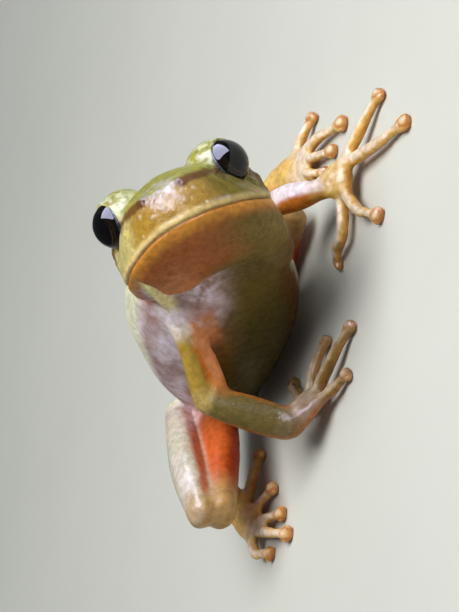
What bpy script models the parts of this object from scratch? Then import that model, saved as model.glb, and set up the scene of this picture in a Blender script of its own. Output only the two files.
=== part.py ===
"""Small green tree frog, a still life-size model resting on its finger and toe pads.

The frog looks towards -Y. It leans over on its left side with its head turned level and its
right hind leg folded in front of it, as a tree frog does on a steep leaf. Every limb is built
of lofted pieces that are parted from each other by thin cuts, and all feet share the floor
z = 0. Lengths are in millimetres until a mesh is made. Directions called left and right are
the animal's own.
"""
from math import cos, pi, sin

import bmesh
import bpy
from mathutils import Vector

MM = 0.001

# Driving dimensions of the animal
SNOUT_TO_VENT = 28.0
HEAD_HALF_WIDTH = 0.172 * SNOUT_TO_VENT
TRUNK_HALF_WIDTH = 0.190 * SNOUT_TO_VENT
EYE_RADIUS = 0.052 * SNOUT_TO_VENT
EYE_SPREAD = 3.50           # from the middle of the head to an eye's centre
LID_RADIUS = 1.22 * EYE_RADIUS
LID_SETBACK = 0.63          # how far the lid's centre lies behind the eye's
DIGIT_RADIUS = 0.34
PAD_RADIUS = 0.60
PAD_HEIGHT = 0.30           # of a pad's middle over the floor
CUT = 0.10                  # width of the thin cuts between pieces
SIDES = {"head": 22, "trunk": 20, "limb": 12, "palm": 12, "digit": 8}

# Attitude of the head and of the trunk
HEAD_CENTRE = Vector((1.38, -6.73, 12.23))
HEAD_FORWARD = Vector((-0.23, -0.81, 0.54))
HEAD_LEFT = Vector((0.400, -0.584, -0.706))
TRUNK_LEFT = Vector((0.35, -0.35, -0.87))

# Spine, from inside the head to the vent
SPINE = [(0.65, -3.1, 9.1), (0.42, -0.45, 7.75), (0.1, 3.0, 6.0), (-0.7, 7.2, 4.3), (-1.3, 10.9, 2.5)]

# Places of the limb joints. A digit's places run from the palm over its knuckles to its pad.
ARMS = {
    "right": {
        "shoulder": (-2.4, -0.7, 10.2), "armpit": (-4.75, 0.4, 8.45),
        "elbow": (-6.9, 1.8, 6.9), "wrist": (-8.5, 0.1, 2.3), "palm_end": (-7.0, -0.8, 1.1),
        "fingers": [((-6.6, 0.9, 1.0), (-5.1, 2.7, 0.7), (-3.6, 4.5)),
                    ((-6.3, -0.1, 1.0), (-4.5, -0.3, 0.8), (-3.0, -0.8)),
                    ((-6.6, -1.1, 1.0), (-5.2, -3.2, 0.8), (-3.8, -4.7)),
                    ((-7.4, -1.4, 1.0), (-7.2, -2.9, 0.7), (-6.7, -4.1))]},
    "left": {
        "shoulder": (0.7, -1.7, 5.8), "armpit": (3.0, -1.2, 4.9),
        "elbow": (5.42, -0.9, 3.6), "wrist": (5.0, -4.1, 2.0), "palm_end": (5.42, -5.7, 1.1),
        "fingers": [((4.4, -4.9, 0.9), (2.1, -4.6, 0.8), (1.8, -3.3, 0.6), (1.1, -2.5)),
                    ((4.5, -5.4, 1.0), (2.5, -7.0, 0.8), (1.2, -9.0)),
                    ((6.1, -5.9, 1.0), (5.5, -9.5, 0.7), (5.3, -13.1)),
                    ((6.4, -5.7, 1.0), (7.9, -7.7, 0.7), (9.2, -9.3))]},
}
LEGS = {
    "right": {
        "hip": (-1.7, 11.1, 3.2), "thigh": (-6.5, 8.8, 3.4), "knee": (-11.8, 6.3, 4.2),
        "shin": (-12.1, 6.3, 5.3), "calf": (-8.2, 8.5, 5.5), "heel": (-3.3, 11.5, 5.1),
        "sole": (-9.1, 11.5, 1.1), "ball": (-10.9, 9.6, 0.8),
        "toes": [((-8.9, 10.8, 0.8), (-7.5, 10.4, 0.7), (-5.8, 10.0)),
                 ((-10.0, 10.0, 0.8), (-9.6, 9.1, 0.7), (-9.0, 7.7)),
                 ((-10.7, 9.3, 0.8), (-11.0, 8.0, 0.7), (-11.3, 6.3)),
                 ((-11.3, 9.2, 0.8), (-12.2, 7.2, 0.8), (-13.0, 5.3)),
                 ((-11.4, 10.1, 0.8), (-12.6, 9.6, 0.7), (-13.1, 8.2))]},
    "left": {
        "hip": (0.0, 10.3, 2.1), "thigh": (3.3, 6.3, 1.9), "knee": (6.2, 1.8, 1.8),
        "shin": (6.9, 3.1, 1.8), "calf": (7.5, 6.7, 1.8), "heel": (8.5, 12.7, 1.5),
        "sole": (10.3, 5.1, 1.1), "ball": (10.1, 2.5, 0.8),
        "toes": [((9.4, 2.8, 0.8), (8.8, 2.0, 0.7), (8.0, 1.1)),
                 ((9.6, 2.2, 0.8), (8.8, 0.7, 0.7), (8.2, -0.7)),
                 ((10.1, 1.9, 0.8), (9.6, 0.1, 0.7), (9.1, -1.9)),
                 ((10.6, 2.0, 0.8), (10.6, -0.4, 0.7), (10.2, -3.5)),
                 ((10.9, 2.7, 0.8), (11.9, 2.3, 0.7), (13.2, 1.4))]},
}


def make_material(name, colour, roughness, metallic=0.0):
    """A plain Principled material."""
    material = bpy.data.materials.new(name)
    material.use_nodes = True
    shader = material.node_tree.nodes["Principled BSDF"]
    shader.inputs["Base Color"].default_value = (*colour, 1.0)
    shader.inputs["Roughness"].default_value = roughness
    shader.inputs["Metallic"].default_value = metallic
    return material


def smooth_curve(values, count):
    """Even samples of a Catmull-Rom curve through the values, which are vectors or numbers."""
    ends = [2 * values[0] - values[1], *values, 2 * values[-1] - values[-2]]
    samples = []
    for step in range(count):
        place = step * (len(values) - 1) / (count - 1)
        span = min(int(place), len(values) - 2)
        t = place - span
        a, b, c, d = ends[span:span + 4]
        samples.append(b + 0.5 * t * (c - a + t * (2 * a - 5 * b + 4 * c - d + t * (3 * b - a - 3 * c + d))))
    return samples


def ring(centre, side, up, width, rise, drop, sides, square=2.0):
    """Points round a section: half width, height over and under the centre, squareness."""
    points = []
    for step in range(sides):
        angle = 2 * pi * step / sides
        across = abs(cos(angle)) ** (2 / square) * (1 if cos(angle) > 0 else -1)
        along = abs(sin(angle)) ** (2 / square) * (1 if sin(angle) > 0 else -1)
        points.append(centre + side * width * across + up * along * (rise if along > 0 else drop))
    return points


def skin_over(rings, first_pole, last_pole):
    """One closed surface bridged over the rings and drawn to a point at either end."""
    surface = bmesh.new()
    loops = []
    for points in rings:
        corners = [surface.verts.new(point * MM) for point in points]
        loops.append([surface.edges.new((corners[i - 1], corners[i])) for i in range(len(corners))])
    for near, far in zip(loops, loops[1:]):
        bmesh.ops.bridge_loops(surface, edges=near + far)
    for loop, pole in ((loops[0], first_pole), (loops[-1], last_pole)):
        cap = bmesh.ops.holes_fill(surface, edges=loop, sides=0)["faces"]
        centre = bmesh.ops.poke(surface, faces=cap)["verts"][0]
        centre.co = pole * MM
    bmesh.ops.recalc_face_normals(surface, faces=surface.faces)
    return surface


def tube(points, widths, depths, up, sides, rings, grow=0.0, blunt=0.8, square=2.0):
    """A loft of oval sections along a smooth path, with rounded ends."""
    centres = smooth_curve([Vector(point) for point in points], rings)
    half_widths = [width + grow for width in smooth_curve(widths, rings)]
    half_depths = [depth + grow for depth in smooth_curve(depths, rings)]
    sections = []
    for i, centre in enumerate(centres):
        ahead = (centres[min(i + 1, rings - 1)] - centres[max(i - 1, 0)]).normalized()
        side = Vector(up).cross(ahead).normalized()
        sections.append((centre, ahead, side, ahead.cross(side)))
    outline = []
    ends = []
    for end, outwards in ((0, -1), (rings - 1, 1)):
        centre, ahead, side, over = sections[end]
        reach = blunt * min(half_widths[end], half_depths[end])
        cap = []
        for turn in (0.38, 0.72):
            scale = cos(turn * pi / 2) ** 0.8
            middle = centre + ahead * outwards * reach * sin(turn * pi / 2)
            cap.append(ring(middle, side, over, half_widths[end] * scale,
                            half_depths[end] * scale, half_depths[end] * scale, sides, square))
        outline.append(cap)
        ends.append(centre + ahead * outwards * reach)
    body = [ring(centre, side, over, half_widths[i], half_depths[i], half_depths[i], sides, square)
            for i, (centre, ahead, side, over) in enumerate(sections)]
    return skin_over(outline[0][::-1] + body + outline[1], ends[0], ends[1])


def stand_on_floor(surface):
    """Cut off what lies under the floor, which leaves a small flat."""
    if min(vertex.co.z for vertex in surface.verts) >= 0:
        return
    cut = bmesh.ops.bisect_plane(surface, geom=surface.verts[:] + surface.edges[:] + surface.faces[:],
                                 plane_co=(0, 0, 0), plane_no=(0, 0, 1), clear_inner=True)
    edges = [item for item in cut["geom_cut"] if isinstance(item, bmesh.types.BMEdge)]
    bmesh.ops.holes_fill(surface, edges=edges, sides=0)
    for vertex in surface.verts:
        if abs(vertex.co.z) < 1e-7:
            vertex.co.z = 0.0
    bmesh.ops.recalc_face_normals(surface, faces=surface.faces)


def add_object(name, surface, material=None):
    """Turn a surface into an object that hangs on the frog's empty."""
    mesh = bpy.data.meshes.new(name)
    surface.to_mesh(mesh)
    surface.free()
    mesh.shade_smooth()
    if material:
        mesh.materials.append(material)
    piece = bpy.data.objects.new(name, mesh)
    bpy.context.collection.objects.link(piece)
    piece.parent = frog
    return piece


def add_piece(name, shape, material, cut_by=()):
    """A sub-part made by shape(grow), kept clear of the pieces that it is cut by."""
    surface = shape(0.0)
    stand_on_floor(surface)
    piece = add_object(name, surface, material)
    for neighbour in cut_by:
        if neighbour not in cutters:
            cutter = add_object("cutter_" + neighbour, shapes[neighbour](CUT))
            cutter.hide_render = True
            cutter.display_type = "WIRE"
            cutters[neighbour] = cutter
        difference = piece.modifiers.new("clear_of_" + neighbour, "BOOLEAN")
        difference.operation = "DIFFERENCE"
        difference.solver = "EXACT"
        difference.object = cutters[neighbour]
    shapes[name] = shape
    return piece


# Head: sections across its length, from the nape to the tip of the snout. Each row holds the
# distance ahead of the eyes, the half width, and the heights of crown, lips and throat over the
# line through the eyes.
HEAD_SECTIONS = [
    (-4.9, 0.84, 0.5, -2.9, -5.6),
    (-3.4, 0.97, 0.9, -2.9, -5.9),
    (-1.6, 1.00, 1.1, -3.0, -5.7),
    (0.2, 0.93, 1.0, -3.1, -5.3),
    (1.8, 0.79, 0.6, -3.15, -4.9),
    (3.1, 0.60, 0.0, -3.2, -4.5),
    (4.1, 0.40, -0.8, -3.1, -4.0),
    (4.65, 0.21, -1.6, -2.9, -3.4),
]


def head_axes():
    """Forward, left and up of the head, square to each other."""
    forward = HEAD_FORWARD.normalized()
    left = (HEAD_LEFT - forward * HEAD_LEFT.dot(forward)).normalized()
    return forward, left, forward.cross(left)


def head_place(ahead, left, up):
    """A place given from the middle of the line through the eyes."""
    axes = head_axes()
    return HEAD_CENTRE + axes[0] * ahead + axes[1] * left + axes[2] * up


def head_shape(grow):
    """The whole head, jaw included: wide at the jaws, lower and narrower towards the snout."""
    forward, left, up = head_axes()
    columns = [smooth_curve(list(column), 13) for column in zip(*HEAD_SECTIONS)]
    rings = []
    for ahead, width, crown, lips, throat in zip(*columns):
        rings.append(ring(head_place(ahead, 0, lips), left, up, width * HEAD_HALF_WIDTH + grow,
                          crown - lips + grow, lips - throat + grow, SIDES["head"], 2.35))
    return skin_over(rings, head_place(-5.0 - grow, 0, -2.6), head_place(4.8 + grow, 0, -2.5))


def ball(centre, radius):
    """A round ball."""
    surface = bmesh.new()
    bmesh.ops.create_uvsphere(surface, u_segments=16, v_segments=9, radius=radius * MM)
    bmesh.ops.translate(surface, verts=surface.verts, vec=centre * MM)
    return surface


def eye_axis(sign):
    """The way an eye looks: sideways, a little ahead and up."""
    forward, left, up = head_axes()
    return (left * sign * 0.86 + forward * 0.51 - up * 0.08).normalized()


def eye_shape(sign):
    """The eyeball of one side, as a function of how much it is grown."""
    return lambda grow: ball(head_place(0, sign * EYE_SPREAD, 0), EYE_RADIUS + grow)


def lid_shape(sign):
    """The bulge of the lids round one eye."""
    centre = head_place(0, sign * EYE_SPREAD, 0) - eye_axis(sign) * LID_SETBACK
    return lambda grow: ball(centre, LID_RADIUS + grow)


def add_head():
    """The head with its lids, and the eyes in their sockets."""
    head = add_piece("head", head_shape, skin_green, ("trunk",))
    for sign, side in ((1, "left"), (-1, "right")):
        lid = add_object("cutter_lid_" + side, lid_shape(sign)(0.0))
        lid.hide_render = True
        lid.display_type = "WIRE"
        union = head.modifiers.new("lid_" + side, "BOOLEAN")
        union.operation = "UNION"
        union.solver = "EXACT"
        union.object = lid
        shapes["eye_" + side] = eye_shape(sign)
    for sign, side in ((1, "left"), (-1, "right")):
        eye = "eye_" + side
        cutters[eye] = add_object("cutter_" + eye, eye_shape(sign)(CUT))
        cutters[eye].hide_render = True
        cutters[eye].display_type = "WIRE"
        socket = head.modifiers.new("socket_" + side, "BOOLEAN")
        socket.operation = "DIFFERENCE"
        socket.solver = "EXACT"
        socket.object = cutters[eye]
        add_piece(eye, eye_shape(sign), eye_dark)


def trunk_shape(grow):
    """The trunk: deep chest, round belly, narrow at the vent."""
    widths = [share * TRUNK_HALF_WIDTH for share in (0.77, 0.92, 0.98, 0.77, 0.46)]
    depths = [share * TRUNK_HALF_WIDTH for share in (0.65, 0.78, 0.84, 0.66, 0.40)]
    back = Vector(SPINE[0]) - Vector(SPINE[-1])
    return tube(SPINE, widths, depths, back.cross(TRUNK_LEFT), SIDES["trunk"], 13, grow, 0.9)


def digit_shape(places):
    """A finger or toe that runs over its knuckles down to a round pad on the floor."""
    knuckle = Vector(places[-2])
    pad = Vector((*places[-1], PAD_HEIGHT))
    path = [*places[:-1], knuckle.lerp(pad, 0.40), knuckle.lerp(pad, 0.70), knuckle.lerp(pad, 0.88), pad]
    slim = [1.25] + [1.0] * (len(places) - 2) + [0.9, 0.95]
    widths = [DIGIT_RADIUS * share for share in slim] + [PAD_RADIUS * 0.90, PAD_RADIUS * 0.90]
    depths = [DIGIT_RADIUS * share for share in slim] + [PAD_RADIUS * 0.70, PAD_RADIUS * 0.62]
    return lambda grow: tube(path, widths, depths, (0, 0, 1), SIDES["digit"], len(path), grow, 0.75)


def limb_shape(path, widths, depths, up, sides="limb", rings=5):
    """A length of a limb, as a function of how much it is grown."""
    return lambda grow: tube(path, widths, depths, up, SIDES[sides], rings, grow)


def add_digits(name, digits, limb, material):
    """The fingers or toes of one foot, each clear of the limb and of the one before."""
    before = ()
    for number, places in enumerate(digits, 1):
        digit = "%s_%d" % (name, number)
        add_piece(digit, digit_shape(places), material, limb + before)
        before = (digit,)


def add_arm(side):
    """Upper arm, forearm, hand and four fingers."""
    arm = ARMS[side]
    upper, fore, hand = "upper_arm_" + side, "forearm_" + side, "hand_" + side
    shoulder, elbow, wrist = (Vector(arm[name]) for name in ("shoulder", "elbow", "wrist"))
    bend = (shoulder - elbow).cross(wrist - elbow)
    add_piece(upper, limb_shape([shoulder, arm["armpit"], elbow], [0.85, 0.70, 0.86],
                                [0.90, 0.70, 0.86], bend), skin_tan, ("trunk", "head"))
    add_piece(fore, limb_shape([elbow, elbow.lerp(wrist, 0.5), wrist], [0.82, 1.02, 1.05],
                               [0.82, 1.05, 1.10], bend), skin_tan, (upper, "trunk", "head"))
    add_piece(hand, limb_shape([wrist, arm["palm_end"]], [1.15, 1.45], [0.95, 0.62], (0, 0, 1),
                               "palm"), skin_tan, (fore,))
    add_digits("finger_" + side, arm["fingers"], (hand, fore), skin_tan)


def add_leg(side):
    """Thigh, shank, tarsus, foot and five toes, folded up."""
    leg = LEGS[side]
    thigh, shank, tarsus, foot = ("%s_%s" % (name, side) for name in ("thigh", "shank", "tarsus", "foot"))
    flat = Vector(leg["shin"]) - Vector(leg["knee"])
    add_piece(thigh, limb_shape([leg["hip"], leg["thigh"], leg["knee"]], [1.5, 1.7, 1.25],
                                [1.3, 1.2, 0.95], flat, rings=7), skin_orange, ("trunk",))
    add_piece(shank, limb_shape([leg["shin"], leg["calf"], leg["heel"]], [1.05, 1.30, 0.95],
                                [0.90, 1.05, 0.85], flat, rings=7), skin_orange, (thigh, "trunk"))
    heel, sole, ball = (Vector(leg[name]) for name in ("heel", "sole", "ball"))
    add_piece(tarsus, limb_shape([heel.lerp(sole, 0.08), sole], [0.62, 0.98], [0.60, 0.78], (0, 0, 1)),
              skin_orange, (shank, thigh))
    add_piece(foot, limb_shape([sole.lerp(ball, 0.2), ball], [0.96, 1.25], [0.74, 0.55], (0, 0, 1),
                               "palm"), skin_orange, (tarsus, thigh))
    add_digits("toe_" + side, leg["toes"], (foot, tarsus), skin_orange)


def centre_on_floor():
    """Move the frog so that the origin is under the middle of its bounding box."""
    bpy.context.view_layer.update()
    state = bpy.context.evaluated_depsgraph_get()
    corners = []
    for piece in frog.children:
        if not piece.hide_render:
            corners += [Vector(corner) for corner in piece.evaluated_get(state).bound_box]
    for axis in (0, 1):
        low = min(corner[axis] for corner in corners)
        high = max(corner[axis] for corner in corners)
        frog.location[axis] = -(low + high) / 2


for old in list(bpy.data.objects):
    bpy.data.objects.remove(old)

frog = bpy.data.objects.new("frog", None)
bpy.context.collection.objects.link(frog)
shapes = {}
cutters = {}
skin_green = make_material("skin_green", (0.36, 0.38, 0.10), 0.42)
skin_tan = make_material("skin_tan", (0.58, 0.34, 0.14), 0.38)
skin_orange = make_material("skin_orange", (0.66, 0.24, 0.07), 0.40)
eye_dark = make_material("eye_dark", (0.012, 0.009, 0.008), 0.05)

add_piece("trunk", trunk_shape, skin_green)
add_head()
for body_side in ("right", "left"):
    add_arm(body_side)
    add_leg(body_side)
centre_on_floor()
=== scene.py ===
"""A small tree frog, life size, as a still model set on the floor.

Shapes are worked out in millimetres in the frame's axes and put into metres at the end.
Left and right are the animal's own; it looks towards -Y.
"""
from math import pi, radians

import bpy
import numpy as np
from mathutils import Matrix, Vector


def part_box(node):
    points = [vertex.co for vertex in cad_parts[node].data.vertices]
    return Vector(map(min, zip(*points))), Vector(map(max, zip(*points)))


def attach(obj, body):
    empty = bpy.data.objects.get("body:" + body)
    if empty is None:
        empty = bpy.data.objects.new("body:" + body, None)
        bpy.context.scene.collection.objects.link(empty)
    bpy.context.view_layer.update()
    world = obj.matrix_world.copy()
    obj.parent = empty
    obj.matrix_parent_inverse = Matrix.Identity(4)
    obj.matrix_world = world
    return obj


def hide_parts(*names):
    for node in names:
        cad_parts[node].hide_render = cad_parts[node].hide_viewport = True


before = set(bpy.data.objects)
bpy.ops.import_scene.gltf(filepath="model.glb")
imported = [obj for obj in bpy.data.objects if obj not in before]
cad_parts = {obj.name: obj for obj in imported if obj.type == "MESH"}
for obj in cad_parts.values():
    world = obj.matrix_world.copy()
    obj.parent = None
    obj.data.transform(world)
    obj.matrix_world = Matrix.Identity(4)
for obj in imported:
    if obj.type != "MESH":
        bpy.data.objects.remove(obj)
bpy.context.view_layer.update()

# Trunk: a soft body, deep at the chest, round at the belly and narrow at the vent.
# It is one loft of oval sections along the spine, and the first of the forms that the skin covers.
MM = 0.001
SPINE = [(0.65, -3.1, 9.1), (0.42, -0.45, 7.75), (0.1, 3.0, 6.0), (-0.7, 7.2, 4.3),
         (-1.3, 10.9, 2.5)]
TRUNK_HALF_WIDTHS = [4.10, 4.87, 5.20, 4.10, 2.45]
TRUNK_HALF_DEPTHS = [3.45, 4.14, 4.45, 3.50, 2.10]
TRUNK_LEFT = (0.35, -0.35, -0.87)
CAP_RISES = [20, 40, 58, 72, 83]    # degrees from the rim of a rounded end to its pole
clay_points, clay_faces, parts = [], [], []


def unit(vectors):
    """Vectors divided by their lengths."""
    vectors = np.asarray(vectors, float)
    return vectors / np.linalg.norm(vectors, axis=-1, keepdims=True)


def smooth_curve(values, count):
    """Even samples of a Catmull-Rom curve: each span is a cubic through its two ends whose
    slopes are half the step between the neighbours on either side."""
    values = np.asarray(values, float).reshape(len(values), -1)
    ends = np.vstack([2 * values[:1] - values[1:2], values, 2 * values[-1:] - values[-2:-1]])
    place = np.linspace(0, len(values) - 1, count)
    span = np.minimum(place.astype(int), len(values) - 2)
    t = (place - span)[:, None]
    a, b, c, d = (ends[span + step] for step in range(4))
    return b + 0.5 * t * (c - a + t * (2 * a - 5 * b + 4 * c - d + t * (3 * b - a - 3 * c + d)))


def section_rings(centres, side, over, widths, rises, drops, corners, square=2.0):
    """Rings of points: the centre, plus side times the width times cos, plus over times the rise
    or drop times sin, where cos and sin are raised to 2/square and keep their signs. Side and
    over are each one way for all the rings, or one for every ring."""
    turn = np.linspace(0, 2 * pi, corners, endpoint=False)
    across = np.sign(np.cos(turn)) * np.abs(np.cos(turn)) ** (2 / square)
    along = np.sign(np.sin(turn)) * np.abs(np.sin(turn)) ** (2 / square)
    heights = np.where(along > 0, rises[:, None], drops[:, None]) * along
    side, over = (np.broadcast_to(way, centres.shape)[:, None] for way in (side, over))
    return (centres[:, None] + side * (widths[:, None] * across)[..., None]
            + over * heights[..., None])


def ring_quads(near, far):
    """Quads between rings of points and the rings that follow them."""
    return np.stack([near, np.roll(near, -1, 1), np.roll(far, -1, 1), far], -1).reshape(-1, 4)


def closed_form(rings, first_pole, last_pole):
    """Points and faces of a closed surface: quads between the rings, a fan at either pole."""
    count, corners = rings.shape[:2]
    points = np.vstack([rings.reshape(-1, 3), first_pole, last_pole])
    index = np.arange(count * corners).reshape(count, corners)
    quads = ring_quads(index[:-1], index[1:])
    first, last = count * corners, count * corners + 1
    fans = [np.stack([np.roll(index[0], -1), index[0], np.full(corners, first)], -1),
            np.stack([index[-1], np.roll(index[-1], -1), np.full(corners, last)], -1)]
    return points, quads.tolist() + fans[0].tolist() + fans[1].tolist()


def add_clay(rings, first_pole, last_pole):
    """Put one closed form with the others that the skin will cover."""
    offset = sum(len(points) for points in clay_points)
    points, faces = closed_form(rings, first_pole, last_pole)
    clay_points.append(points)
    clay_faces.extend([[corner + offset for corner in face] for face in faces])


def add_tube(name, path, widths, depths, up, rings=24, corners=32, blunt=0.8):
    """A loft of ovals along a smooth path, with an end cap of shrinking ovals at either end.
    Its path and thickness are noted under its name, for the colours and the folds."""
    centres = smooth_curve(path, rings)
    widths, depths = smooth_curve(widths, rings)[:, 0], smooth_curve(depths, rings)[:, 0]
    ahead = unit(np.gradient(centres, axis=0))
    side = unit(np.cross(np.asarray(up, float), ahead))
    over = np.cross(ahead, side)
    rise = np.sin(np.radians(CAP_RISES))
    shrink = np.sqrt(1 - rise ** 2)
    caps, poles = [], []
    for end, sign in ((0, -1), (rings - 1, 1)):
        reach = blunt * min(widths[end], depths[end])
        step, size = rise[::sign], shrink[::sign]
        middle = centres[end] + ahead[end] * sign * reach * step[:, None]
        deep = depths[end] * size
        caps.append(section_rings(middle, side[end], over[end], widths[end] * size, deep, deep,
                                  corners))
        poles.append(centres[end] + ahead[end] * sign * reach)
    body = section_rings(centres, side, over, widths, depths, depths, corners)
    add_clay(np.concatenate([caps[0], body, caps[1]]), *poles)
    parts.append({"name": name, "path": centres, "side": side, "over": over,
                  "widths": widths, "depths": depths})


spine_up = np.cross(np.array(SPINE[0]) - np.array(SPINE[-1]), TRUNK_LEFT)
add_tube("trunk", SPINE, TRUNK_HALF_WIDTHS, TRUNK_HALF_DEPTHS, spine_up, 40, 72, 0.9)

# Head: broad at the jaws and blunt at the snout, with the eyes standing out at its corners.
# A loft of squarish sections across its length, and a ball of lid round each eye.
HEAD_CENTRE = np.array((1.38, -6.73, 12.23))
HEAD_FORWARD = unit((-0.23, -0.81, 0.54))
HEAD_LEFT = (0.400, -0.584, -0.706)
HEAD_HALF_WIDTH = 4.82
HEAD_SQUARE = 2.35               # 2 is an oval, more is squarer
HEAD_SECTIONS = np.array([       # ahead, half width share, crown, lips, throat over the eye line
    (-4.9, 0.84, 0.5, -2.9, -5.6), (-3.4, 0.97, 0.9, -2.9, -5.9), (-1.6, 1.00, 1.1, -3.0, -5.7),
    (0.2, 0.93, 1.0, -3.1, -5.3), (1.8, 0.79, 0.6, -3.15, -4.9), (3.1, 0.60, 0.0, -3.2, -4.5),
    (4.1, 0.40, -0.8, -3.1, -4.0), (4.65, 0.21, -1.6, -2.9, -3.4)])
EYE_RADIUS = 1.456
LID_RADIUS = 1.22 * EYE_RADIUS
LID_SETBACK = 0.63
EYE_LOOK = (0.51, 0.86, -0.08)   # ahead, outwards, up

head_left = unit(HEAD_LEFT - HEAD_FORWARD * (HEAD_FORWARD @ HEAD_LEFT))
head_axes = np.array([HEAD_FORWARD, head_left, np.cross(HEAD_FORWARD, head_left)])
head_columns = smooth_curve(HEAD_SECTIONS, 60)


def head_place(ahead, left, up):
    """A place given from the middle of the line through the eyes."""
    return HEAD_CENTRE + np.array([ahead, left, up], float) @ head_axes


def ease(low, high, value):
    """0 under low, 1 over high, and a smooth s-curve between them."""
    t = np.clip((value - low) / (high - low), 0, 1)
    return t * t * (3 - 2 * t)


# The fold across the throat: where it lies ahead, for each place from right to left
THROAT_FOLD = ([-4.6, -3.7, -3.3, -3.0, -1.9, -0.6, 0.6, 1.8, 3.0, 4.1, 4.8],
               [1.9, 1.3, 0.9, -0.4, -0.6, -0.6, -0.85, -1.2, -1.85, -2.8, -3.8])


def behind_fold(spot):
    """How far a place lies behind the fold across the throat."""
    return np.interp(spot[..., 1], *THROAT_FOLD) - spot[..., 0]


def head_form():
    """Squarish sections whose width, crown and throat follow smooth curves along the head. Under
    the lips, what lies behind the throat's fold is drawn up towards them by up to four tenths."""
    ahead, width, crown, lips, throat = head_columns.T
    forward, sideways, upward = np.eye(3)
    centres = np.outer(ahead, forward) + np.outer(lips, upward)
    rings = section_rings(centres, sideways, upward, width * HEAD_HALF_WIDTH, crown - lips,
                          lips - throat, 96, HEAD_SQUARE)
    tuck = 1 - ease(0.0, 0.9, behind_fold(rings)) * (0.40 - 0.28 * ease(0.5, 3.5, rings[..., 1]))
    drop = rings[..., 2] - lips[:, None]
    rings[..., 2] = lips[:, None] + np.where(drop < 0, drop * tuck, drop)
    return HEAD_CENTRE + rings @ head_axes


def ball_rings(centre, radius, axis, up, angles, corners):
    """Rings round a ball's axis, one for each angle from it: as far along the axis as the radius
    times the angle's cosine, and as wide as the radius times its sine."""
    across = unit(np.cross(axis, up))
    wide = np.sin(angles) * radius
    return section_rings(centre + np.outer(np.cos(angles) * radius, axis), across,
                         np.cross(axis, across), wide, wide, wide, corners)


add_clay(head_form(), head_place(-5.0, 0, -2.6), head_place(4.8, 0, -2.5))
eye_centres, eye_axes = {}, {}
for side, sign in (("left", 1), ("right", -1)):
    low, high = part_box("eye_" + side)
    eye_centres[side] = np.array((low + high) / 2) / MM
    eye_axes[side] = unit(np.array(EYE_LOOK) * (1, sign, 1)) @ head_axes
    middle, reach = eye_centres[side] - eye_axes[side] * LID_SETBACK, eye_axes[side] * LID_RADIUS
    add_clay(ball_rings(middle, LID_RADIUS, eye_axes[side], (0, 0, 1),
                        np.radians(np.linspace(176, 4, 30)), 48), middle - reach, middle + reach)

# Loose skin of the throat down to the left shoulder, and the nape between crown and back
add_tube("throat_slack", [head_place(-1.2, 2.3, -3.9), head_place(-3.2, 3.1, -3.95),
                          head_place(-5.2, 3.2, -4.1), head_place(-7.4, 2.5, -3.9)],
         [1.45, 1.70, 1.75, 1.30], [1.45, 1.70, 1.75, 1.30], head_axes[2])
add_tube("nape", [head_place(-3.6, 0, -1.5), head_place(-5.4, 0, -0.85),
                  head_place(-7.6, 0, -0.55)], [3.0, 3.6, 3.6], [1.4, 1.7, 1.6], head_axes[2])

# Arms and hands: slim arms, broad palms and four fingers that end in round pads.
# Each length is an oval loft from joint to joint, as wide and deep as the sizes at its stops.
DIGIT_RADIUS = 0.34
PAD_RADIUS = 0.58
PAD_HEIGHT = 0.30
UPPER_ARM_RADII = [0.50, 0.54, 0.74]
FOREARM_WIDTHS, FOREARM_DEPTHS = (0.82, 1.00, 1.04, 0.96), (0.82, 1.02, 1.08, 0.96)
RIDGE_RADII = [0.20, 0.28, 0.28, 0.33]
ARMS = {
    "right": {
        "slim": (1, 1, 1, 1),
        "shoulder": (-2.4, -0.7, 10.2), "armpit": (-4.75, 0.4, 8.45),
        "elbow": (-6.9, 1.8, 6.9), "wrist": (-8.5, 0.1, 2.3), "palm_end": (-7.0, -0.8, 1.1),
        "fingers": [((-6.6, 0.9, 1.0), (-5.1, 2.7, 0.7), (-3.6, 4.5)),
                    ((-6.3, -0.1, 1.0), (-4.5, -0.3, 0.8), (-3.0, -0.8)),
                    ((-6.6, -1.1, 1.0), (-5.2, -3.2, 0.8), (-3.8, -4.7)),
                    ((-7.4, -1.4, 1.0), (-7.2, -2.9, 0.7), (-6.7, -4.1))]},
    "left": {
        "slim": (1, 0.88, 0.74, 0.68),
        "shoulder": (0.7, -1.7, 5.8), "armpit": (3.0, -1.2, 4.9),
        "elbow": (5.42, -0.9, 3.6), "wrist": (5.0, -4.1, 2.0), "palm_end": (5.42, -5.7, 1.1),
        "fingers": [((4.4, -4.9, 0.9), (2.1, -4.6, 0.8), (1.8, -3.3, 0.6), (1.1, -2.5)),
                    ((4.5, -5.4, 1.0), (2.5, -7.0, 0.8), (1.2, -9.0)),
                    ((6.1, -5.9, 1.0), (5.5, -9.5, 0.7), (5.3, -13.1)),
                    ((6.4, -5.7, 1.0), (7.9, -7.7, 0.7), (9.2, -9.3))]},
}


def add_digit(name, places):
    """A finger or toe: thicker at its root, slim between its knuckles, and a flat round pad."""
    knuckle = np.array(places[-2], float)
    pad = np.array((*places[-1], PAD_HEIGHT))
    stops = [knuckle + (pad - knuckle) * share for share in (0.40, 0.70, 0.88)]
    slim = [1.25] + [1.04] * (len(places) - 2) + [0.84, 0.90]
    widths = [DIGIT_RADIUS * share for share in slim] + [PAD_RADIUS * 0.90, PAD_RADIUS * 0.92]
    depths = [DIGIT_RADIUS * share for share in slim] + [PAD_RADIUS * 0.66, PAD_RADIUS * 0.60]
    add_tube(name, [*places[:-1], *stops, pad], widths, depths, (0, 0, 1), 26, 20, 0.75)


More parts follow.
